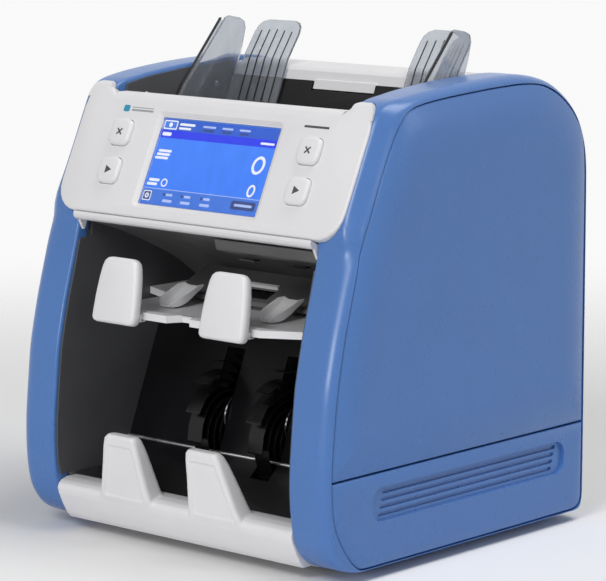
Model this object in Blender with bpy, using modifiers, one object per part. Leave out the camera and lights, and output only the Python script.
"""Two-pocket banknote counting machine, built from separate parts.

Lengths are in millimetres until they reach the mesh. A point's depth is counted from the front
of the cheeks towards the back, and its height from the table. The row frame is +Z up, front at -Y.
"""

import math

import bmesh
import bpy
from mathutils import Matrix, Vector

MM = 0.001

# Overall size
HALF_WIDTH = 145.0
CENTRE_DEPTH = 138.6
CHEEK_INNER = 111.0
LINER_INNER = 109.2
LINER_OUTER = 110.7

# Side view of a cheek, as (depth, height), from the bottom front corner up and round
CHEEK = [
    (44.0, 6.8), (34.0, 7.2), (25.5, 9.4), (17.6, 13.4), (10.6, 19.8), (5.2, 28.4), (2.4, 38.0), (0.8, 50.0),
    (0.1, 64.0), (0.5, 82.0), (2.7, 106.0), (5.6, 132.0), (9.6, 151.0), (13.6, 167.6), (20.0, 190.0),
    (26.0, 211.0), (28.2, 221.0), (28.0, 230.0), (29.8, 240.0), (37.2, 256.0), (44.8, 272.0), (51.2, 285.8),
    (56.0, 296.0), (59.8, 304.0), (63.4, 309.2), (68.2, 312.9), (76.0, 315.6), (88.0, 317.4), (102.0, 319.4),
    (132.0, 322.4), (156.0, 323.9), (182.0, 324.8), (200.0, 324.9), (212.0, 324.2), (227.0, 321.6),
    (240.0, 317.6), (252.0, 311.0), (263.0, 302.5), (271.5, 293.0), (277.5, 282.0), (281.5, 270.0),
    (283.3, 258.0), (283.9, 240.0), (284.3, 150.0), (284.3, 22.0), (283.0, 13.8), (279.0, 8.8), (272.0, 6.8),
]
# Side view of the thin joint round the side covers
SEAM = [
    (42.0, 9.0), (34.5, 9.9), (27.6, 14.6), (20.8, 22.2), (14.4, 31.5), (9.6, 41.5), (7.2, 52.0), (6.2, 66.0),
    (6.4, 82.0), (8.6, 106.0), (11.6, 130.0), (15.6, 151.0), (19.4, 168.0), (25.0, 188.0), (31.0, 209.0),
    (37.0, 229.0), (43.6, 243.0), (50.2, 256.6), (57.0, 271.5), (63.7, 285.2), (69.6, 296.0), (74.2, 302.6),
    (79.8, 307.8), (86.5, 311.0), (95.0, 312.8), (110.0, 314.6), (128.0, 316.0), (148.0, 317.2), (168.0, 318.3),
    (186.0, 318.9), (200.0, 319.2), (214.8, 318.6), (228.0, 316.6), (238.0, 313.2), (246.2, 309.2),
    (254.0, 304.2), (260.4, 299.0), (266.2, 293.0), (271.6, 286.0), (275.4, 278.0), (277.6, 268.0),
    (278.6, 256.0), (279.0, 240.0), (279.0, 150.0), (279.0, 22.0), (278.0, 14.6), (274.0, 10.4), (267.0, 9.0),
]
COVER_BACK = 139.5
SPLIT_HEIGHT = 72.4

# Leaning front panel: its front plane passes through this edge and leans back
LEAN = math.radians(25.2)
PANEL_FOOT = (22.8, 228.0)
PANEL_THICK = 6.5
PANEL_HALF = 132.0
PANEL_TOP = 86.4
EAR_TOP = 94.0
SCREEN = (109.4, 63.5)
SCREEN_MID = 42.3
BUTTON_SIZE = 19.2
BUTTON_ROUND = 5.0
BUTTON_X = 87.5
BUTTON_UPPER = 59.1
BUTTON_LOWER = 30.9

# Reject pocket
SHELF_TOP = 165.0
SHELF_THICK = 5.0
SHELF_FLOOR = 161.8
PADDLE_X = 50.4
PADDLE_PIN = (12.0, 160.3)
PADDLE_LEAN = math.radians(12.2)

# Stacker
STACKER_AXIS = (97.0, 82.0)
STACKER_RADIUS = 42.0
STACKER_X = 28.6
STACKER_WIDTH = 13.4
VANES = 12

# Hopper and its note guides
HOPPER_BED = [(74.0, 303.0), (100.0, 238.0), (154.9, 245.0), (182.9, 312.3)]
GUIDE_LEAN = math.tan(math.radians(22.6))
GUIDE_LEAN_TOP = math.tan(math.radians(34.8))
GUIDE_BEND = (187.4, 325.0)
GUIDE_THICK = 1.8
RACK_PITCH = 1.5 * math.pi
PINION_AXIS = (0.0, 186.0)
PINION_TEETH = 12
PINION_PITCH_RADIUS = 9.0
RACK_LOW = 270.4
RACK_HIGH = 275.4

# Shafts, as (depth, height) of the axis
PICKUP_AXIS = (118.0, 232.0)
FEED_AXIS = (146.0, 228.0)
TRANSPORT_AXIS = (160.0, 182.0)
EXIT_AXIS = (125.0, 146.0)
MOTOR_AXIS = (226.0, 62.0)
GATE_AXIS = (166.0, 158.0)

# Rear door
DOOR_HINGE = (280.6, 121.0)


def clear_scene():
    for obj in list(bpy.data.objects):
        bpy.data.objects.remove(obj, do_unlink=True)


def make_collection(name):
    collection = bpy.data.collections.new(name)
    bpy.context.scene.collection.children.link(collection)
    return collection


clear_scene()
PARTS = make_collection("banknote_counting_machine")
CUTTERS = make_collection("cutters")


def material(name, colour, roughness, metallic=0.0, alpha=1.0):
    mat = bpy.data.materials.new(name)
    mat.use_nodes = True
    shader = mat.node_tree.nodes["Principled BSDF"]
    shader.inputs["Base Color"].default_value = (*colour, 1.0)
    shader.inputs["Roughness"].default_value = roughness
    shader.inputs["Metallic"].default_value = metallic
    shader.inputs["Alpha"].default_value = alpha
    mat.diffuse_color = (*colour, alpha)
    return mat


BLUE = (0.09, 0.18, 0.43)
WHITE = (0.74, 0.73, 0.75)
DARK = (0.045, 0.046, 0.055)
BLACK = (0.008, 0.008, 0.009)
STEEL = (0.55, 0.55, 0.56)


# ---------------------------------------------------------------- frames and outlines

def world(x, depth, height):
    return Vector((x * MM, (depth - CENTRE_DEPTH) * MM, height * MM))


def frame_x(x):
    """Outline axes depth and height, thickness along X."""
    turn = Matrix(((0, 0, 1), (1, 0, 0), (0, 1, 0))).to_4x4()
    return Matrix.Translation(world(x, 0, 0)) @ turn


def frame_y(depth):
    """Outline axes X and height, thickness along Y."""
    turn = Matrix(((1, 0, 0), (0, 0, -1), (0, 1, 0))).to_4x4()
    return Matrix.Translation(world(0, depth, 0)) @ turn


def frame_z(height):
    """Outline axes X and depth, thickness along Z."""
    return Matrix.Translation(world(0, 0, height))


def frame_panel(inward):
    """Outline axes X and distance up the front panel, thickness along its normal."""
    sine = math.sin(LEAN)
    cosine = math.cos(LEAN)
    turn = Matrix(((1, 0, 0), (0, sine, -cosine), (0, cosine, sine))).to_4x4()
    foot = world(0, PANEL_FOOT[0] + inward * cosine, PANEL_FOOT[1] - inward * sine)
    return Matrix.Translation(foot) @ turn


def signed_area(outline):
    total = 0.0
    for (x0, y0), (x1, y1) in zip(outline, outline[1:] + outline[:1]):
        total += x0 * y1 - x1 * y0
    return total / 2


def inset(outline, distance):
    """Moves every side of a closed outline inwards by a distance."""
    way = 1.0 if signed_area(outline) > 0 else -1.0
    moved = []
    count = len(outline)
    for i in range(count):
        before = Vector(outline[i]) - Vector(outline[i - 1])
        after = Vector(outline[(i + 1) % count]) - Vector(outline[i])
        before.normalize()
        after.normalize()
        normal = Vector((-before.y - after.y, before.x + after.x)) * way
        normal.normalize()
        side = Vector((-before.y, before.x)) * way
        step = distance / max(normal.dot(side), 0.4)
        point = Vector(outline[i]) + normal * step
        moved.append((point.x, point.y))
    return moved


def clipped(outline, height, keep_above):
    """Cuts a closed outline with a level line and keeps one side."""
    kept = []
    count = len(outline)
    for i in range(count):
        a = outline[i]
        b = outline[(i + 1) % count]
        a_in = (a[1] >= height) == keep_above
        b_in = (b[1] >= height) == keep_above
        if a_in:
            kept.append(a)
        if a_in != b_in:
            t = (height - a[1]) / (b[1] - a[1])
            kept.append((a[0] + t * (b[0] - a[0]), height))
    return kept


def box_outline(x0, x1, y0, y1):
    return [(x0, y0), (x1, y0), (x1, y1), (x0, y1)]


def round_box(x0, x1, y0, y1, radius, steps=4):
    corners = [(x1, y0, -90), (x1, y1, 0), (x0, y1, 90), (x0, y0, 180)]
    outline = []
    for x, y, start in corners:
        cx = x - math.copysign(radius, x - (x0 + x1) / 2)
        cy = y - math.copysign(radius, y - (y0 + y1) / 2)
        for k in range(steps + 1):
            angle = math.radians(start + 90.0 * k / steps)
            outline.append((cx + radius * math.cos(angle), cy + radius * math.sin(angle)))
    return outline


def circle(centre, radius, steps=16):
    outline = []
    for k in range(steps):
        angle = 2 * math.pi * k / steps
        outline.append((centre[0] + radius * math.cos(angle), centre[1] + radius * math.sin(angle)))
    return outline


def band(line, thickness):
    """The closed outline of a strip that lies on the right-hand side of an open line."""
    other = []
    for i, point in enumerate(line):
        before = Vector(line[i]) - Vector(line[max(i - 1, 0)])
        after = Vector(line[min(i + 1, len(line) - 1)]) - Vector(line[i])
        if before.length == 0:
            before = after
        if after.length == 0:
            after = before
        before.normalize()
        after.normalize()
        normal = Vector((before.y + after.y, -before.x - after.x))
        normal.normalize()
        side = Vector((before.y, -before.x))
        shifted = Vector(point) + normal * (thickness / normal.dot(side))
        other.append((shifted.x, shifted.y))
    return list(line) + other[::-1]


# ---------------------------------------------------------------- building blocks

def finish_mesh(obj, smooth_angle=35.0):
    for polygon in obj.data.polygons:
        polygon.use_smooth = True
    obj.data.set_sharp_from_angle(angle=math.radians(smooth_angle))


def new_object(name, mesh, collection):
    obj = bpy.data.objects.new(name, mesh)
    collection.objects.link(obj)
    return obj


def slab(name, outlines, thickness, frame, collection=None):
    """A closed outline, or several that may be holes, made thick and baked into a mesh."""
    if not isinstance(outlines[0], list):
        outlines = [outlines]
    curve = bpy.data.curves.new(name + "_outline", "CURVE")
    curve.dimensions = "2D"
    curve.fill_mode = "BOTH"
    curve.extrude = thickness * MM / 2
    for outline in outlines:
        spline = curve.splines.new("POLY")
        spline.points.add(len(outline) - 1)
        spline.use_cyclic_u = True
        for point, (u, v) in zip(spline.points, outline):
            point.co = (u * MM, v * MM, 0, 1)
    guide = bpy.data.objects.new(name + "_outline", curve)
    bpy.context.scene.collection.objects.link(guide)
    graph = bpy.context.evaluated_depsgraph_get()
    mesh = bpy.data.meshes.new_from_object(guide.evaluated_get(graph))
    bpy.data.objects.remove(guide, do_unlink=True)
    bpy.data.curves.remove(curve)
    mesh.name = name
    bm = bmesh.new()
    bm.from_mesh(mesh)
    bmesh.ops.remove_doubles(bm, verts=bm.verts, dist=1e-6)
    if len(outlines) == 1:
        flat = math.radians(0.2)
        bmesh.ops.dissolve_limit(bm, angle_limit=flat, verts=bm.verts, edges=bm.edges)
    bmesh.ops.transform(bm, matrix=frame, verts=bm.verts)
    bmesh.ops.recalc_face_normals(bm, faces=bm.faces)
    bm.to_mesh(mesh)
    bm.free()
    obj = new_object(name, mesh, collection or PARTS)
    finish_mesh(obj)
    return obj


def slab_between(name, outlines, low, high, axis, collection=None):
    frames = {"X": frame_x, "Y": frame_y, "Z": frame_z}
    frame = frames[axis]((low + high) / 2)
    return slab(name, outlines, high - low, frame, collection)


def block(name, low, high, collection=None):
    """A box between two corners, each as (X, depth, height)."""
    outline = box_outline(low[0], high[0], low[1], high[1])
    return slab_between(name, outline, low[2], high[2], "Z", collection)


def loft(name, loops, collection=None):
    """Joins closed loops of equal length, given as world points, and caps both ends."""
    mesh = bpy.data.meshes.new(name)
    bm = bmesh.new()
    rings = []
    for loop in loops:
        rings.append([bm.verts.new(point) for point in loop])
    for lower, upper in zip(rings, rings[1:]):
        count = len(lower)
        for i in range(count):
            j = (i + 1) % count
            bm.faces.new((lower[i], lower[j], upper[j], upper[i]))
    bm.faces.new(rings[0][::-1])
    bm.faces.new(rings[-1])
    bmesh.ops.recalc_face_normals(bm, faces=bm.faces)
    bm.to_mesh(mesh)
    bm.free()
    obj = new_object(name, mesh, collection or PARTS)
    finish_mesh(obj)
    return obj


def rod(name, start, end, radius, steps=16, collection=None):
    """A round bar between two points given as (X, depth, height)."""
    a = world(*start)
    b = world(*end)
    mesh = bpy.data.meshes.new(name)
    bm = bmesh.new()
    bmesh.ops.create_cone(
        bm, cap_ends=True, segments=steps, radius1=radius * MM, radius2=radius * MM, depth=(b - a).length
    )
    turn = (b - a).to_track_quat("Z", "Y").to_matrix().to_4x4()
    bmesh.ops.transform(bm, matrix=Matrix.Translation((a + b) / 2) @ turn, verts=bm.verts)
    bm.to_mesh(mesh)
    bm.free()
    obj = new_object(name, mesh, collection or PARTS)
    finish_mesh(obj)
    return obj


def turned(name, profile, axis_point, steps=20):
    """A body of revolution about an X-parallel axis. The profile is (x, radius) from +X to -X."""
    mesh = bpy.data.meshes.new(name)
    points = [(radius * MM, 0.0, x * MM) for x, radius in profile]
    edges = [(i, i + 1) for i in range(len(points) - 1)]
    mesh.from_pydata(points, edges, [])
    obj = new_object(name, mesh, PARTS)
    screw = obj.modifiers.new("turn", "SCREW")
    screw.steps = steps
    screw.render_steps = steps
    screw.use_merge_vertices = True
    screw.merge_threshold = 0.00001
    screw.use_smooth_shade = False
    turn = Matrix(((0, 0, 1), (1, 0, 0), (0, 1, 0))).to_4x4()
    obj.matrix_world = Matrix.Translation(world(0, *axis_point)) @ turn
    return obj


def put_origin(obj, x, depth, height):
    """Moves the object's origin to a point without moving its shape."""
    point = world(x, depth, height)
    obj.data.transform(Matrix.Translation(-point))
    obj.location = point


def cut(obj, cutter, operation="DIFFERENCE"):
    """Adds a Boolean with a helper object, which is kept out of the render."""
    for collection in list(cutter.users_collection):
        collection.objects.unlink(cutter)
    CUTTERS.objects.link(cutter)
    cutter.hide_render = True
    cutter.display_type = "WIRE"
    modifier = obj.modifiers.new(operation.lower(), "BOOLEAN")
    modifier.operation = operation
    modifier.object = cutter
    modifier.solver = "EXACT"
    return modifier


def bevel(obj, width, segments=2, angle=40.0, group=None):
    modifier = obj.modifiers.new("rounding", "BEVEL")
    modifier.width = width * MM
    modifier.segments = segments
    modifier.use_clamp_overlap = True
    if group:
        modifier.limit_method = "VGROUP"
        modifier.vertex_group = group
    else:
        modifier.limit_method = "ANGLE"
        modifier.angle_limit = math.radians(angle)
    return modifier


def mark(obj, name, test):
    """Names the points of a mesh that pass a test on their world position."""
    group = obj.vertex_groups.new(name=name)
    chosen = [v.index for v in obj.data.vertices if test(obj.matrix_world @ v.co)]
    group.add(chosen, 1.0, "REPLACE")


def paint(obj, mat):
    obj.data.materials.clear()
    obj.data.materials.append(mat)
    return obj


def mirrored(outline, side):
    return [(x * side, y) for x, y in outline]


def side_name(side):
    return "right" if side > 0 else "left"


def span(side, low, high):
    """An X range on one side of the machine, in rising order."""
    return (low, high) if side > 0 else (-high, -low)


MAT_BLUE = material("blue_housing", BLUE, 0.38)
MAT_WHITE = material("white_plastic", WHITE, 0.42)
MAT_DARK = material("dark_liner", DARK, 0.5)
MAT_GREY = material("grey_pocket", (0.075, 0.075, 0.08), 0.45)
MAT_BLACK = material("black_plastic", BLACK, 0.35)
MAT_STEEL = material("sheet_steel", STEEL, 0.35, 1.0)
MAT_RUBBER = material("rubber", (0.02, 0.02, 0.02), 0.8)
MAT_SMOKE = material("smoke_clear", (0.3, 0.32, 0.35), 0.12, 0.0, 0.35)
MAT_GLASS = material("display_glass", (0.05, 0.1, 0.2), 0.08, 0.0, 0.35)
MAT_SCREEN = material("display", (0.05, 0.16, 0.8), 0.3)
MAT_PCB = material("circuit_board", (0.03, 0.16, 0.07), 0.5)


# ---------------------------------------------------------------- housing

def panel_outline(grow=0.0):
    """Front view of the leaning panel, with rounded lower corners and an ear at each upper corner."""
    half = PANEL_HALF
    right = []
    for k in range(7):
        angle = math.radians(-90 + 15 * k)
        right.append((half - 20 + 20 * math.cos(angle), 20 + 20 * math.sin(angle)))
    right[0] = (half - 20.6, 0.0)
    right.append((half, 76.0))
    right += [(half - 0.8, 83.0), (half - 3.4, 89.0), (half - 7.0, 92.6), (half - 12.0, EAR_TOP)]
    right += [(half - 17.0, EAR_TOP - 0.4), (half - 22.0, EAR_TOP - 2.6), (half - 26.0, PANEL_TOP + 1.2)]
    right.append((half - 28.4, PANEL_TOP))
    left = [(-x, s) for x, s in right[::-1]]
    outline = right + left
    return inset(outline, -grow) if grow else outline


def swept_back(outline, amount):
    """The same side view nearer the outer face, where the part beside the front panel leans back."""
    moved = []
    for depth, height in outline:
        rise = min(max((height - 216) / 34, 0.0), 1.0)
        fade = min(max((depth - 62) / 30, 0.0), 1.0)
        back = amount * (rise * rise * (3 - 2 * rise)) * (1 - fade * fade * (3 - 2 * fade))
        if depth > 140:
            back = 0.0
        moved.append((depth + back * math.cos(LEAN), height - back * math.sin(LEAN)))
    return moved


def ear_solid(name, side, grow):
    """The rounded upright at an end of the panel's upper edge, from its side view and its front view."""
    profile = [(57.0, 300.6), (62.3, 311.9), (64.2, 313.8), (67.0, 314.6), (69.8, 314.2), (71.1, 312.4)]
    profile += [(71.1, 304.6), (65.6, 301.2)]
    front = [(110.8, 84.0), (111.4, 91.0), (112.6, 94.6), (115.0, 97.0), (118.0, 98.2), (122.0, 98.2)]
    front += [(125.6, 96.6), (128.6, 93.6), (130.6, 89.6), (131.6, 84.0)]
    low, high = span(side, 104.0, 136.0)
    ear = slab_between(name, inset(profile, -grow), low, high, "X")
    shape = inset(mirrored(front, side), -grow)
    cut(ear, slab("ear_front_view", shape, 60.0, frame_panel(0.0)), "INTERSECT")
    return ear


def build_cheek(side):
    stations = (
        (111.0, 0.0, 2.2), (111.7, 0.0, 0.8), (113.4, 0.0, 0.0), (131.6, 0.0, 0.0), (134.6, 1.6, 0.0),
        (138.0, 4.2, 0.0), (141.0, 6.2, 0.3), (143.4, 7.4, 1.1), (144.6, 7.6, 2.2), (145.0, 7.6, 3.4),
    )
    loops = []
    for x, back, shrink in stations:
        ring = inset(swept_back(CHEEK, back), shrink) if shrink else swept_back(CHEEK, back)
        loops.append([world(side * x, depth, height) for depth, height in ring])
    cheek = loft(f"cheek_{side_name(side)}", loops)
    seat_low, seat_high = span(side, COVER_BACK - 0.3, HALF_WIDTH + 3)
    cut(cheek, slab_between("cutter_seat", SEAM, seat_low, seat_high, "X"))
    deep_low, deep_high = span(side, CHEEK_INNER - 3, COVER_BACK + 2)
    cut(cheek, slab_between("cutter_deep", inset(SEAM, 4.3), deep_low, deep_high, "X"))
    cut(cheek, slab("cutter_panel", panel_outline(0.4), 22.0, frame_panel(PANEL_THICK + 0.4 - 11.0)))
    cut(cheek, ear_solid("cutter_ear", side, 0.5))
    return paint(cheek, MAT_BLUE)


def pillow(name, outline, layers):
    """A shallow cushion shape: the outline shrinks towards its middle as it rises."""
    depths = [p[0] for p in outline]
    heights = [p[1] for p in outline]
    mid = ((min(depths) + max(depths)) / 2, (min(heights) + max(heights)) / 2)
    half = ((max(depths) - min(depths)) / 2, (max(heights) - min(heights)) / 2)
    loops = []
    for shrink, x in layers:
        scale = (1 - shrink / half[0], 1 - shrink / half[1])
        loop = []
        for depth, height in outline:
            d = mid[0] + (depth - mid[0]) * scale[0]
            h = mid[1] + (height - mid[1]) * scale[1]
            loop.append(world(x, d, h))
        loops.append(loop)
    return loft(name, loops)


def build_side_cover(side):
    outline = clipped(inset(SEAM, 0.4), SPLIT_HEIGHT + 0.4, True)
    steps = [
        (0.0, COVER_BACK), (0.0, 141.2), (0.5, 142.1), (1.8, 142.9), (5.0, 143.7), (10.0, 144.3), (18.0, 144.8),
        (28.0, 145.1),
    ]
    cover = pillow(f"side_cover_{side_name(side)}", outline, [(s, side * x) for s, x in steps])
    return paint(cover, MAT_BLUE)


def build_vent_panel(side):
    outline = clipped(inset(SEAM, 0.4), SPLIT_HEIGHT - 0.4, False)
    steps = [(0.0, COVER_BACK), (0.0, 141.8), (0.6, 142.7), (2.6, 143.6), (6.0, 144.3), (11.0, 144.7)]
    panel = pillow(f"vent_panel_{side_name(side)}", outline, [(s, side * x) for s, x in steps])
    low, high = span(side, 143.0, 148.0)
    cut(panel, slab_between("cutter_pill", round_box(46, 255, 39.5, 62.5, 9.0, 3), low, high, "X"))
    slots = []
    for k in range(4):
        height = 43.6 + 5.0 * k
        slots.append(round_box(54 + 1.5 * k, 243 + 1.5 * k, height - 1.1, height + 1.1, 1.05, 2))
    low, high = span(side, 141.6, 147.0)
    cut(panel, slab_between("cutter_slots", slots, low, high, "X"))
    return paint(panel, MAT_BLUE)


def shaft_holes(radius):
    axes = [STACKER_AXIS, PICKUP_AXIS, FEED_AXIS, TRANSPORT_AXIS, EXIT_AXIS, MOTOR_AXIS, GATE_AXIS]
    return [circle(axis, radius, 10) for axis in axes]


def build_frame_plate(side):
    low, high = span(side, 111.3, 112.9)
    outlines = [inset(SEAM, 5.0)] + shaft_holes(5.4)
    plate = slab_between(f"frame_plate_{side_name(side)}", outlines, low, high, "X")
    return paint(plate, MAT_STEEL)


def liner_outline():
    shape = inset(CHEEK, 2.7)
    front = [p for p in shape if p[0] < 60 and 45 < p[1] < 206]
    top = [p for p in shape if p[1] > 312 and 80 < p[0] < 184]
    under_cover = [
        (184.6, 321.6), (184.6, 308.4), (205.0, 315.0), (219.5, 318.4), (229.0, 316.6), (241.0, 311.8),
        (254.6, 303.8), (263.4, 296.4),
    ]
    back = [(min(p[0], 276.0), p[1]) for p in shape if p[0] > 264 and 45 < p[1] < 294]
    low_front = [(6.0, 41.8)]
    step = [(27.0, 206.5), (38.5, 209.0), (38.5, 232.0), (72.6, 303.0), (76.0, 312.4)]
    return low_front + front + step + top + under_cover + back + [(276.0, 41.8)]


def build_liner(side):
    low, high = span(side, LINER_INNER, LINER_OUTER)
    liner = slab_between(f"inner_wall_{side_name(side)}", [liner_outline()] + shaft_holes(5.4), low, high, "X")
    return paint(liner, MAT_DARK)


def build_base():
    plate = block("base_plate", (-110.6, 30.5, 7.2), (110.6, 276.5, 9.0))
    paint(plate, MAT_STEEL)
    for side in (-1, 1):
        for where, depth in (("front", 66.0), ("rear", 256.0)):
            name = f"foot_{where}_{side_name(side)}"
            foot = rod(name, (side * 92, depth, 0), (side * 92, depth, 6.9), 9.0, 18)
            paint(foot, MAT_RUBBER)


def build_panel():
    panel = slab("control_panel", panel_outline(), PANEL_THICK, frame_panel(PANEL_THICK / 2))
    inward = Vector((0, math.cos(LEAN), -math.sin(LEAN)))
    foot = world(0, *PANEL_FOOT)
    mark(panel, "front_rim", lambda p: (p - foot).dot(inward) < 1 * MM)
    bevel(panel, 1.8, 3, group="front_rim")
    bottom = SCREEN_MID - SCREEN[1] / 2
    top = SCREEN_MID + SCREEN[1] / 2
    hole = round_box(-SCREEN[0] / 2, SCREEN[0] / 2, bottom, top, 0.8, 1)
    cut(panel, slab("cutter_screen", hole, 20.0, frame_panel(4.0)))
    loops = []
    for grow, inward_mm in ((4.4, -1.0), (3.0, 0.4), (0.8, 2.0), (0.6, 2.3)):
        edge = round_box(-SCREEN[0] / 2 - grow, SCREEN[0] / 2 + grow, bottom - grow, top + grow, 1.0 + grow, 3)
        frame = frame_panel(inward_mm)
        loops.append([frame @ Vector((u * MM, v * MM, 0)) for u, v in edge])
    cut(panel, loft("cutter_bezel", loops))
    for side in (-1, 1):
        for up in (BUTTON_UPPER, BUTTON_LOWER):
            half = BUTTON_SIZE / 2 + 0.35
            x = side * BUTTON_X
            hole = round_box(x - half, x + half, up - half, up + half, BUTTON_ROUND + 0.35)
            cut(panel, slab("cutter_button", hole, 20.0, frame_panel(4.0)))
    add_panel_top(panel)
    return paint(panel, MAT_WHITE)


def add_panel_top(panel):
    """The panel's upper edge rolls back over the hopper, and an ear stands at each end of it."""
    roll = [(57.7, 302.2), (60.2, 306.8), (62.6, 308.2), (69.6, 308.2), (71.0, 307.0), (71.0, 304.6)]
    roll += [(64.0, 301.4)]
    cut(panel, slab_between("panel_roll", roll, -105.0, 105.0, "X"), "UNION")
    for side in (-1, 1):
        cut(panel, ear_solid("panel_ear", side, 0.0), "UNION")


def build_display():
    bottom = SCREEN_MID - SCREEN[1] / 2
    top = SCREEN_MID + SCREEN[1] / 2
    half = SCREEN[0] / 2
    window = box_outline(-half + 0.4, half - 0.4, bottom + 0.4, top - 0.4)
    paint(slab("display_window", window, 1.2, frame_panel(3.1)), MAT_GLASS)
    module = box_outline(-half + 0.6, half - 0.6, bottom + 0.6, top - 0.6)
    paint(slab("display_module", module, 6.0, frame_panel(7.2)), MAT_SCREEN)
    board = box_outline(-98, 98, 6, 78)
    paint(slab("keypad_board", board, 1.6, frame_panel(12.8)), MAT_PCB)


def build_buttons():
    half = BUTTON_SIZE / 2
    for side in (-1, 1):
        for where, up in (("upper", BUTTON_UPPER), ("lower", BUTTON_LOWER)):
            x = side * BUTTON_X
            loops = []
            rounding = ((0.0, 9.0), (0.0, -1.4), (0.35, -2.2), (1.1, -2.75), (2.4, -3.0))
            for shrink, inward in rounding:
                reach = half - shrink
                edge = round_box(x - reach, x + reach, up - reach, up + reach, BUTTON_ROUND - shrink * 0.6, 3)
                frame = frame_panel(inward)
                loops.append([frame @ Vector((u * MM, v * MM, 0)) for u, v in edge])
            button = loft(f"button_{where}_{side_name(side)}", loops)
            put_origin(button, x, PANEL_FOOT[0] + up * math.sin(LEAN), PANEL_FOOT[1] + up * math.cos(LEAN))
            paint(button, MAT_WHITE)


def build_lip():
    profile = [
        (22.4, 227.4), (28.6, 224.5), (34.6, 222.2), (34.6, 219.4), (27.0, 220.6), (24.0, 221.6),
        (22.3, 223.2), (21.8, 225.4),
    ]
    lip = slab_between("pocket_lip", profile, -110.6, 110.6, "X")
    for side in (-1, 1):
        low, high = span(side, 108.4, 110.6)
        end = [(25.4, 222.4), (33.0, 221.0), (33.0, 217.8), (31.0, 213.4), (29.8, 213.6)]
        cut(lip, slab_between("lip_end", end, low, high, "X"), "UNION")
    return paint(lip, MAT_WHITE)


def build_top_cover():
    line = [
        (184.9, 310.6), (187.8, 318.6), (189.8, 320.8), (193.0, 321.6), (205.0, 322.3), (219.0, 322.4),
        (229.0, 321.0), (242.0, 316.2), (256.0, 308.0), (266.0, 299.0),
    ]
    cover = slab_between("rear_top_cover", band(line, 2.6), -110.6, 110.6, "X")
    tongue = [(182.0, 306.3), (184.5, 313.2), (186.6, 312.6), (184.4, 306.3)]
    cut(cover, slab_between("tongue", tongue, -29, 29, "X"), "UNION")
    return paint(cover, MAT_WHITE)


# ---------------------------------------------------------------- reject pocket

CEILING = [
    (151.5, 164.0), (142.5, 171.8), (128.0, 182.2), (114.8, 189.8), (87.4, 202.4), (62.2, 212.6), (35.2, 221.2),
]


def build_ceiling():
    ceiling = slab_between("pocket_ceiling", band(CEILING[::-1], 2.0), -108.8, 108.8, "X")
    paint(ceiling, MAT_GREY)
    bar = [(38.5, 217.4), (61.5, 210.0), (60.0, 203.6), (40.6, 209.2)]
    sensor = slab_between("pocket_sensor", bar, 8.0, 108.6, "X")
    bevel(sensor, 1.4, 2)
    paint(sensor, MAT_GREY)
    ramp = [(79.0, 165.4), (81.0, 168.0), (115.5, 182.8), (116.5, 181.0), (85.0, 165.4)]
    panel = slab_between("exit_panel", ramp, -70.0, 70.0, "X")
    cut(panel, block("cutter_window", (-14, 85.5, 160), (14, 100, 190)))
    paint(panel, MAT_GREY)


def build_shelf():
    tongues = [(11.0, 11.8), (33.6, 11.8), (33.6, 18.0), (67.2, 18.0), (67.2, 11.8)]
    right = [(5.0, 22.0)] + tongues + [(75.0, 11.8), (101.0, 26.0), (108.8, 28.0), (108.8, 146.5)]
    left = [(-108.8, 146.5), (-108.8, 96.0), (-72.0, 80.0), (-72.0, 11.8)]
    left += [(-x, d) for x, d in tongues[::-1]] + [(-5.0, 22.0)]
    shelf = slab_between("pocket_shelf", right + left, SHELF_TOP - SHELF_THICK, SHELF_TOP, "Z")
    tray = [(-106.6, 160.0), (-106.6, 97.6), (-69.6, 81.6), (-69.6, 20.4), (-6.0, 20.4), (-3.6, 24.6)]
    tray += [(3.6, 24.6), (6.0, 20.4), (75.0, 20.4), (100.4, 28.8), (106.6, 30.4), (106.6, 160.0)]
    cut(shelf, slab_between("cutter_tray", tray, SHELF_FLOOR, SHELF_TOP + 5.0, "Z"))
    for side in (-1, 1):
        for x in (35.9, 64.9):
            low, high = span(side, x - 2.2, x + 2.2)
            ear = [(10.0, 158.2), (10.0, 162.6), (19.6, 162.6), (19.6, 161.2), (14.6, 158.2)]
            cut(shelf, slab_between("shelf_ear", ear, low, high, "X"), "UNION")
        low, high = span(side, 34.4, 66.4)
        cut(shelf, slab_between("paddle_pin", circle(PADDLE_PIN, 1.3, 10), low, high, "X"), "UNION")
    return paint(shelf, MAT_WHITE)


def build_fingers():
    """Small channels that lay a rejected note on the shelf, with a rounded front end."""
    line = [(77.4, 174.6), (71.0, 171.2), (64.5, 167.4), (58.5, 164.7), (53.5, 163.5), (50.0, 163.4)]
    line += [(47.8, 164.0)]
    walls = (1.4, 4.6, 5.8, 6.2, 5.6, 4.0, 1.4)
    halves = (9.6, 9.8, 9.8, 9.6, 9.0, 7.6, 5.2)
    for side in (-1, 1):
        loops = []
        for (depth, height), wall, half in zip(line, walls, halves):
            across = [(-1.0, wall), (-0.86, wall), (-0.74, 0.7), (-0.45, 0.0), (0.45, 0.0), (0.74, 0.7)]
            across += [(0.86, wall), (1.0, wall), (0.9, -0.4), (0.5, -1.2), (-0.5, -1.2), (-0.9, -0.4)]
            x = side * 47.0
            loops.append([world(x + u * half, depth, height + rise) for u, rise in across])
        paint(loft(f"chute_finger_{side_name(side)}", loops), MAT_WHITE)


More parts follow.
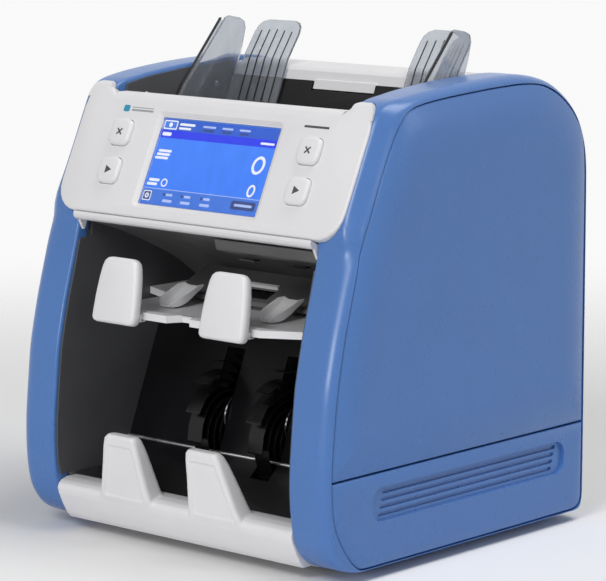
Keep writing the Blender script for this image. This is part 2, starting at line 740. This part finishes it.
def build_paddles():
    """Hinged stops that hold the reject stack. They swing forward and down."""
    outline = [
        (-20.0, 2.2), (-18.4, 0.6), (-15.8, 0.0), (15.8, 0.0), (18.4, 0.6), (20.0, 2.2), (20.2, 6.0),
        (19.6, 18.0), (18.2, 30.0), (16.6, 37.5), (15.0, 41.0), (12.4, 42.8), (9.0, 43.4), (-9.0, 43.4),
        (-12.4, 42.8), (-15.0, 41.0), (-16.6, 37.5), (-18.2, 30.0), (-19.6, 18.0), (-20.2, 6.0),
    ]
    outline = [(u, v * 1.05) for u, v in outline]
    sine = math.sin(PADDLE_LEAN)
    cosine = math.cos(PADDLE_LEAN)
    layers = ((2.4, 0.0), (1.0, 0.7), (0.2, 1.9), (0.0, 3.4), (0.0, 6.0), (0.7, 7.3), (2.2, 7.8))
    for side in (-1, 1):
        loops = []
        for shrink, back in layers:
            loop = []
            for u, v in inset(outline, shrink):
                depth = -1.9 + v * sine + back * cosine
                height = 157.2 + v * cosine - back * sine
                loop.append(world(side * PADDLE_X + u, depth, height))
            loops.append(loop)
        paddle = loft(f"reject_paddle_{side_name(side)}", loops)
        lug = [(4.4, 164.8), (12.4, 163.5), (15.1, 161.6), (15.2, 158.8), (12.2, 157.2), (3.6, 158.6)]
        low, high = span(side, 38.6, 62.2)
        cut(paddle, slab_between("paddle_lug", lug, low, high, "X"), "UNION")
        low, high = span(side, 36, 65)
        cut(paddle, slab_between("cutter_bore", circle(PADDLE_PIN, 1.6, 10), low, high, "X"))
        put_origin(paddle, side * PADDLE_X, *PADDLE_PIN)
        paint(paddle, MAT_WHITE)


# ---------------------------------------------------------------- stacker pocket

def build_apron():
    profile = [
        (29.0, 9.4), (15.4, 9.4), (12.0, 13.0), (8.0, 20.0), (4.0, 28.6), (3.0, 32.6), (4.0, 35.8), (7.0, 38.0),
        (12.0, 39.4), (20.0, 39.4), (26.0, 38.0), (29.0, 35.0),
    ]
    apron = slab_between("stacker_apron", profile, -110.6, 110.6, "X")
    for side in (-1, 1):
        sections = (
            (30.0, 16.6, 68.5, 3.6, 20.4), (36.0, 17.8, 66.6, 0.8, 18.0), (44.0, 19.4, 63.4, -1.2, 15.0),
            (60.0, 21.6, 58.8, -4.4, 9.8), (72.0, 22.8, 55.6, -6.8, 5.2), (78.4, 23.8, 53.4, -7.8, 2.2),
            (81.2, 25.6, 50.6, -7.0, 0.4),
        )
        loops = []
        for height, x0, x1, d0, d1 in sections:
            low, high = span(side, x0, x1)
            edge = round_box(low, high, d0, d1, min(2.8, (d1 - d0) / 2.4), 2)
            loops.append([world(x, d, height) for x, d in edge])
        cut(apron, loft("post", loops), "UNION")
        inner = []
        for height, x0, x1, d0 in ((35.0, 23.4, 61.8, 2.4), (73.4, 27.8, 50.2, -5.8)):
            low, high = span(side, x0, x1)
            loop = [world(low, d0 - 9, height), world(high, d0 - 9, height)]
            loop += [world(high, d0, height), world(low, d0, height)]
            inner.append(loop)
        cut(apron, loft("cutter_post", inner))
    return paint(apron, MAT_WHITE)


def build_stacker_plate():
    line = [(112.4, 158.0), (73.6, 60.0), (32.0, 24.0)]
    plate = slab_between("stacker_plate", band(line[::-1], 1.5), -108.8, 108.8, "X")
    for side in (-1, 1):
        low, high = span(side, STACKER_X - 8.4, STACKER_X + 8.4)
        cut(plate, block("cutter_slot", (low, 50, 49), (high, 115, 129)))
    return paint(plate, MAT_BLACK)


def stacker_wheel_outline():
    """Curved vanes that sweep back from a hub."""
    outline = []
    hub = 17.0
    steps = 7
    for vane in range(VANES):
        start = 2 * math.pi * vane / VANES
        edge = []
        for k in range(steps + 1):
            t = k / steps
            radius = hub + (STACKER_RADIUS - hub) * t
            angle = start + 1.9 * t
            edge.append((radius, angle))
        for radius, angle in edge:
            outline.append((radius, angle))
        for radius, angle in edge[::-1]:
            width = 1.2 + 3.0 * (1 - (radius - hub) / (STACKER_RADIUS - hub))
            outline.append((radius, angle + width / radius))
    points = []
    for radius, angle in outline:
        depth = STACKER_AXIS[0] + radius * math.cos(angle)
        height = STACKER_AXIS[1] + radius * math.sin(angle)
        points.append((depth, height))
    return points


def build_stacker():
    shaft = roller("stacker_shaft", STACKER_AXIS, 4.0, [(123.0, 8.0, 18.0)], (131.0, -113.6))
    paint(shaft, MAT_STEEL)
    for side in (-1, 1):
        low, high = span(side, STACKER_X - STACKER_WIDTH / 2, STACKER_X + STACKER_WIDTH / 2)
        outlines = [stacker_wheel_outline(), circle(STACKER_AXIS, 4.3, 16)]
        wheel = slab_between(f"stacker_wheel_{side_name(side)}", outlines, low, high, "X")
        put_origin(wheel, side * STACKER_X, *STACKER_AXIS)
        paint(wheel, MAT_BLACK)


# ---------------------------------------------------------------- hopper

def build_hopper():
    bed = slab_between("hopper_bed", band(HOPPER_BED, 2.0), -108.8, 108.8, "X")
    cut(bed, block("cutter_tongue", (-29.4, 150, 305.6), (29.4, 200, 330)))
    for side in (-1, 1):
        low, high = span(side, 16.5, 39.5)
        cut(bed, block("cutter_roller", (low, 102, 225), (high, 134, 248)))
        low, high = span(side, 8.0, 106.0)
        cut(bed, block("cutter_arm", (low, 158, 275.9), (high, 185, 281.6)))
    return paint(bed, MAT_BLACK)


def guide_back_line():
    """Rear surface of a guide's back plate, from its foot to its top."""
    depth, height = GUIDE_BEND
    foot = 258.0
    top = 351.4
    low = (depth - (height - foot) * GUIDE_LEAN, foot)
    high = (depth + (top - height) * GUIDE_LEAN_TOP, top)
    return [high, GUIDE_BEND, low]


def build_guide(side):
    """A side plate with a flared front edge, joined low down to a leaning back plate, on a rack."""
    name = f"note_guide_{side_name(side)}"
    low, high = span(side, 55.0, 105.9)
    guide = slab_between(name, band(guide_back_line(), GUIDE_THICK), low, high, "X")
    front = [(57.0, 256.0), (57.0, 343.0), (58.2, 347.6), (61.0, 350.4), (65.5, 352.0), (90.0, 352.0)]
    front += [(95.4, 350.6), (98.4, 347.4), (99.6, 343.0), (99.6, 323.0), (101.4, 321.2), (108.0, 321.2)]
    front += [(108.0, 256.0)]
    shape = slab_between("guide_front_view", mirrored(front, side), 120, 240, "Y")
    cut(guide, shape, "INTERSECT")
    plate = [
        (158.6, 257.0), (185.6, 321.6), (190.4, 334.0), (193.6, 345.6), (192.4, 350.8), (187.0, 353.6),
        (176.4, 355.6), (172.6, 354.4), (132.0, 309.6), (117.0, 288.0), (113.0, 270.0), (113.0, 257.0),
    ]
    low, high = span(side, 104.6, 106.4)
    cut(guide, slab_between("guide_side", plate, low, high, "X"), "UNION")
    section = [(104.8, 0.6), (106.3, 0.6), (108.9, -3.4), (107.6, -4.2)]
    loops = []
    for depth, height in ((173.4, 352.6), (133.0, 308.2), (118.6, 287.6), (115.2, 272.4)):
        ring = []
        for x, forward in section:
            ring.append(world(side * x, depth + forward, height))
        loops.append(ring)
    cut(guide, loft("guide_flare", loops), "UNION")
    add_arm_and_rack(guide, side)
    return paint(guide, MAT_SMOKE)


def rack_outline(side):
    """Plan view of a toothed bar. The left guide's bar lies in front of the pinion, the right one behind."""
    line = PINION_AXIS[1] + side * PINION_PITCH_RADIUS
    toward = -side
    outline = [(88.0, line - toward * 6.0), (88.0, line - toward * 1.6)]
    count = 12
    for k in range(count, -1, -1):
        middle = RACK_PITCH * (k - 0.5)
        outline += [
            (middle + 1.35, line - toward * 1.6), (middle + 0.55, line + toward * 1.2),
            (middle - 0.55, line + toward * 1.2), (middle - 1.35, line - toward * 1.6),
        ]
    end = RACK_PITCH * -0.5 - 1.6
    outline += [(end, line - toward * 1.6), (end, line - toward * 6.0)]
    return mirrored(outline, side)


def add_arm_and_rack(guide, side):
    line = PINION_AXIS[1] + side * PINION_PITCH_RADIUS
    reach = line + 5.6 if side > 0 else line - 2.2
    near = line + 2.2 if side > 0 else line - 5.6
    low, high = span(side, 74.0, 87.5)
    arm = [(167.0, 277.0), (168.2, 280.6), (reach, 280.6), (reach, 273.0), (near, 273.0), (near, 277.0)]
    cut(guide, slab_between("arm", arm, low, high, "X"), "UNION")
    rack = slab_between("rack", rack_outline(side), RACK_LOW, RACK_HIGH, "Z")
    cut(guide, rack, "UNION").solver = "MANIFOLD"


def pinion_outline():
    points = []
    for tooth in range(PINION_TEETH):
        middle = math.pi / 2 + 2 * math.pi * tooth / PINION_TEETH
        for offset, radius in ((-0.155, 7.0), (-0.055, 10.1), (0.055, 10.1), (0.155, 7.0)):
            angle = middle + offset
            across = PINION_AXIS[0] + radius * math.cos(angle)
            points.append((across, PINION_AXIS[1] + radius * math.sin(angle)))
    return points


def build_guide_drive():
    outlines = [pinion_outline(), circle(PINION_AXIS, 2.8, 12)]
    pinion = slab_between("guide_pinion", outlines, RACK_LOW, RACK_HIGH, "Z")
    put_origin(pinion, PINION_AXIS[0], PINION_AXIS[1], (RACK_LOW + RACK_HIGH) / 2)
    paint(pinion, MAT_WHITE)
    rail = block("guide_rail", (-108.9, 171.6, 267.2), (108.9, 202.6, 270.0))
    cut(rail, slab_between("rail_pin", circle(PINION_AXIS, 2.5, 12), 268.0, 278.6, "Z"), "UNION")
    paint(rail, MAT_STEEL)


# ---------------------------------------------------------------- note transport

def roller(name, axis, shaft_radius, tyres, reach=(113.6, -113.6)):
    """A shaft with round tyres. Each tyre is (X centre, width, radius)."""
    profile = [(reach[0], 0.0), (reach[0], shaft_radius)]
    for centre, width, radius in sorted(tyres, reverse=True):
        profile.append((centre + width / 2, shaft_radius))
        profile.append((centre + width / 2, radius))
        profile.append((centre - width / 2, radius))
        profile.append((centre - width / 2, shaft_radius))
    profile += [(reach[1], shaft_radius), (reach[1], 0.0)]
    return turned(name, profile, axis, 18)


def build_rollers():
    def pair(x, width, radius):
        return [(-x, width, radius), (x, width, radius)]

    paint(roller("pickup_roller", PICKUP_AXIS, 3.0, pair(28.0, 20.0, 13.0)), MAT_RUBBER)
    feed = pair(20.0, 16.0, 11.5) + pair(60.0, 16.0, 11.5) + [(123.0, 8.0, 14.0)]
    paint(roller("feed_roller", FEED_AXIS, 4.0, feed, (131.0, -113.6)), MAT_RUBBER)
    transport = pair(35.0, 14.0, 9.0) + pair(75.0, 14.0, 9.0)
    paint(roller("transport_roller", TRANSPORT_AXIS, 3.5, transport), MAT_RUBBER)
    paint(roller("exit_roller", EXIT_AXIS, 3.5, pair(60.0, 14.0, 10.0)), MAT_RUBBER)


def hull(points):
    """Convex outline round a set of points."""
    points = sorted(points)
    halves = []
    for run in (points, points[::-1]):
        chain = []
        for p in run:
            while len(chain) > 1:
                (ax, ay), (bx, by) = chain[-2], chain[-1]
                if (bx - ax) * (p[1] - ay) - (by - ay) * (p[0] - ax) > 1e-9:
                    break
                chain.pop()
            chain.append(p)
        halves.append(chain[:-1])
    return halves[0] + halves[1]


def build_drive():
    motor = turned(
        "drive_motor", [(104.0, 0.0), (104.0, 24.0), (102.0, 26.0), (54.0, 26.0), (50.0, 22.0), (50.0, 0.0)],
        MOTOR_AXIS, 24,
    )
    paint(motor, MAT_STEEL)
    spindle = turned(
        "motor_pulley",
        [
            (130.0, 0.0), (130.0, 3.0), (127.0, 3.0), (127.0, 12.0), (119.0, 12.0), (119.0, 3.0), (104.6, 3.0),
            (104.6, 0.0),
        ],
        MOTOR_AXIS, 20,
    )
    paint(spindle, MAT_STEEL)
    wheels = ((STACKER_AXIS, 18.0), (FEED_AXIS, 14.0), (MOTOR_AXIS, 12.0))
    outlines = []
    for grow in (2.2, 0.5):
        points = []
        for axis, radius in wheels:
            points += circle(axis, radius + grow, 28)
        outlines.append(hull(points))
    belt = slab_between("drive_belt", outlines, 119.4, 126.6, "X")
    paint(belt, MAT_RUBBER)


def build_sensors():
    for name, depth in (("image_sensor_front", 130.0), ("image_sensor_rear", 150.0)):
        bar = block(name, (-104, depth, 193.5), (104, depth + 12.5, 213.5))
        paint(bar, MAT_DARK)
    blade = [(162.5, 160.5), (166.0, 162.2), (169.6, 160.0), (169.4, 156.0), (165.0, 154.0), (153.4, 150.4)]
    gate = slab_between("diverter_gate", blade, -66.0, 66.0, "X")
    axle = slab_between("gate_axle", circle(GATE_AXIS, 2.4, 12), -113.6, 113.6, "X")
    cut(gate, axle, "UNION")
    put_origin(gate, 0, *GATE_AXIS)
    paint(gate, MAT_BLACK)


def build_electronics():
    board = block("main_board", (-117.0, 96, 104), (-115.4, 246, 256))
    components = [((-123, 110, 120), (-116, 140, 150)), ((-127, 170, 190), (-116, 214, 236))]
    components.append(((-121, 222, 116), (-116, 238, 170)))
    for low, high in components:
        cut(board, block("board_component", low, high), "UNION")
    paint(board, MAT_PCB)
    supply = block("power_supply", (-104, 164, 9.4), (-16, 258, 49))
    bevel(supply, 1.2, 1)
    paint(supply, MAT_STEEL)


# ---------------------------------------------------------------- rear

def build_rear():
    plate = [box_outline(-110.6, 110.6, 9.4, 116.0)]
    plate.append(round_box(-91.0, -62.0, 20.4, 40.6, 2.4, 2))
    plate.append(box_outline(-51.6, -41.4, 21.4, 39.9))
    for k in range(7):
        plate.append(round_box(10.0, 90.0, 40.0 + 8 * k, 43.4 + 8 * k, 1.6, 1))
    panel = slab_between("rear_panel", plate, 278.6, 281.4, "Y")
    paint(panel, MAT_DARK)
    build_inlet()
    build_switch()
    build_door()


def build_inlet():
    outer = round_box(-90.6, -62.4, 20.8, 40.2, 2.0, 2)
    inlet = slab_between("power_inlet", outer, 262.0, 281.8, "Y")
    flange = round_box(-93.4, -59.6, 18.0, 43.0, 2.6, 2)
    cut(inlet, slab_between("inlet_flange", flange, 281.75, 283.2, "Y"), "UNION")
    mouth = [(-88.0, 22.6), (-65.0, 22.6), (-65.0, 34.4), (-69.6, 38.6), (-83.4, 38.6), (-88.0, 34.4)]
    cut(inlet, slab_between("cutter_mouth", mouth, 266.0, 290.0, "Y"))
    for x, height in ((-76.5, 34.0), (-83.5, 27.6), (-69.5, 27.6)):
        blade = box_outline(x - 1.0, x + 1.0, height - 2.0, height + 2.0)
        cut(inlet, slab_between("inlet_blade", blade, 264.0, 279.5, "Y"), "UNION")
    paint(inlet, MAT_BLACK)


def build_switch():
    rocker = [(276.0, 24.2), (282.2, 22.8), (283.6, 30.5), (285.0, 38.2), (276.0, 36.8), (274.6, 30.5)]
    key = slab_between("power_rocker", rocker, -51.2, -41.8, "X")
    put_origin(key, -46.5, 277.0, 30.5)
    paint(key, MAT_BLACK)


def build_door():
    line = [
        (266.8, 298.2), (275.6, 284.4), (280.0, 271.0), (281.6, 256.0), (281.9, 240.0), (282.0, 128.0),
        (281.6, 122.4),
    ]
    door = slab_between("rear_door", band(line, 2.6), -108.6, 108.6, "X")
    for side in (-1, 1):
        low, high = span(side, 96.0, 104.0)
        lug = [(279.0, 130.0), (281.4, 130.0), (282.4, 122.0), (281.6, 119.2), (279.4, 119.2), (278.4, 122.0)]
        cut(door, slab_between("door_lug", lug, low, high, "X"), "UNION")
    cut(door, slab_between("cutter_latch", box_outline(-13.0, 13.0, 259.6, 278.0), 270.0, 290.0, "Y"))
    put_origin(door, 0, *DOOR_HINGE)
    paint(door, MAT_WHITE)
    latch_line = [(278.0, 277.2), (280.6, 270.0), (281.4, 262.8)]
    latch = slab_between("door_latch", band(latch_line, 3.4), -12.5, 12.5, "X")
    put_origin(latch, 0, 279.0, 270.0)
    paint(latch, MAT_DARK)


for which in (-1, 1):
    build_cheek(which)
    build_side_cover(which)
    build_vent_panel(which)
    build_frame_plate(which)
    build_liner(which)
    build_guide(which)
build_base()
build_panel()
build_display()
build_buttons()
build_lip()
build_top_cover()
build_ceiling()
build_shelf()
build_fingers()
build_paddles()
build_apron()
build_stacker_plate()
build_stacker()
build_hopper()
build_guide_drive()
build_rollers()
build_drive()
build_sensors()
build_electronics()
build_rear()
